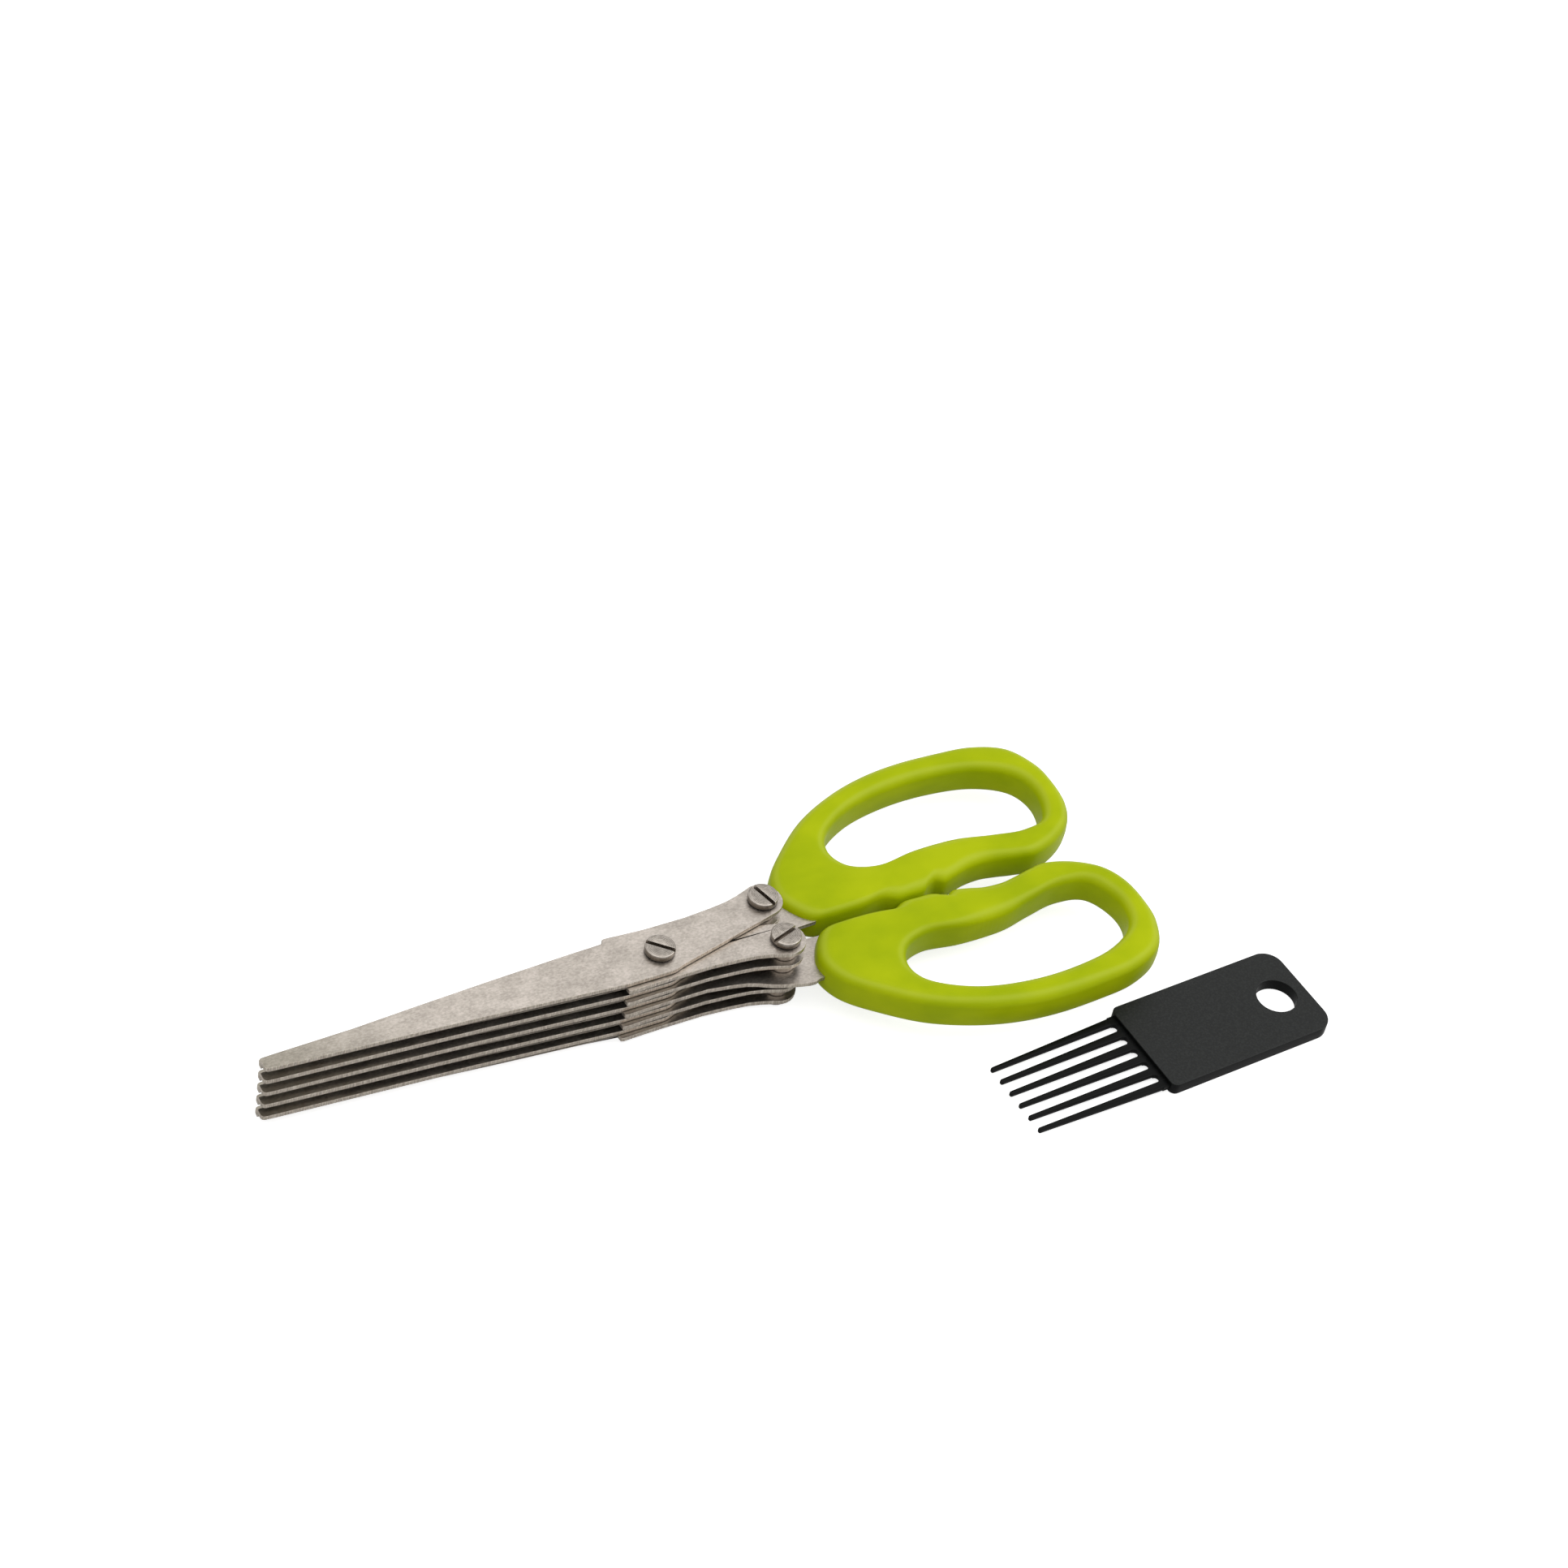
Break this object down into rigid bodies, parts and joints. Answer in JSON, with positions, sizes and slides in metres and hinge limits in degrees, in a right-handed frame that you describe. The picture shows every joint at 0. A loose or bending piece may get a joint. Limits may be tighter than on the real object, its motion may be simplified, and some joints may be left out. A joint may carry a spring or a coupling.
{
  "type": "herb scissors",
  "caption": "Herb scissors with a stack of parallel blades on one pivot, two moulded loop handles and a separate toothed cleaning comb.",
  "frame": {"origin": "on the pivot's axis, at the lower face of the pivot screw, where the closed scissors lie on a table", "axes": "+X from the pivot towards the handles, +Z along the pivot's axis to the slotted screw heads, +Y towards handle a"},
  "size_m": [0.2267, 0.1, 0.0203],
  "materials": {
    "blade_steel": "stamped stainless steel sheet, satin, with ground cutting edges",
    "screw_steel": "turned stainless steel, satin",
    "green_plastic": "moulded lime green plastic, satin gloss",
    "black_plastic": "moulded black plastic, fine matt grain"
  },
  "bodies": {
    "half_b": {"blade_b1": "blade_steel", "blade_b2": "blade_steel", "blade_b3": "blade_steel", "blade_b4": "blade_steel", "blade_b5": "blade_steel", "handle_b": "green_plastic", "tang_screw_b": "screw_steel", "tang_nut_b": "screw_steel", "tang_spacer_b1": "screw_steel", "tang_spacer_b2": "screw_steel", "tang_spacer_b3": "screw_steel", "tang_spacer_b4": "screw_steel", "pivot_screw": "screw_steel", "pivot_nut": "screw_steel", "pivot_washer_1": "screw_steel", "pivot_washer_2": "screw_steel", "pivot_washer_3": "screw_steel", "pivot_washer_4": "screw_steel"},
    "half_a": {"blade_a1": "blade_steel", "blade_a2": "blade_steel", "blade_a3": "blade_steel", "blade_a4": "blade_steel", "blade_a5": "blade_steel", "handle_a": "green_plastic", "tang_screw_a": "screw_steel", "tang_nut_a": "screw_steel", "tang_spacer_a1": "screw_steel", "tang_spacer_a2": "screw_steel", "tang_spacer_a3": "screw_steel", "tang_spacer_a4": "screw_steel"},
    "comb": {"comb": "black_plastic"}
  },
  "joints": [
    {"name": "blade_pivot", "type": "hinge", "parent": "half_b", "child": "half_a", "pos_m": [0, 0, 0], "axis": [0, 0, 1], "range_deg": [0, 40]},
    {"name": "comb_lift", "type": "slide", "parent": "half_b", "child": "comb", "axis": [0, 0, 1], "range_m": [0, 0.1]}
  ]
}
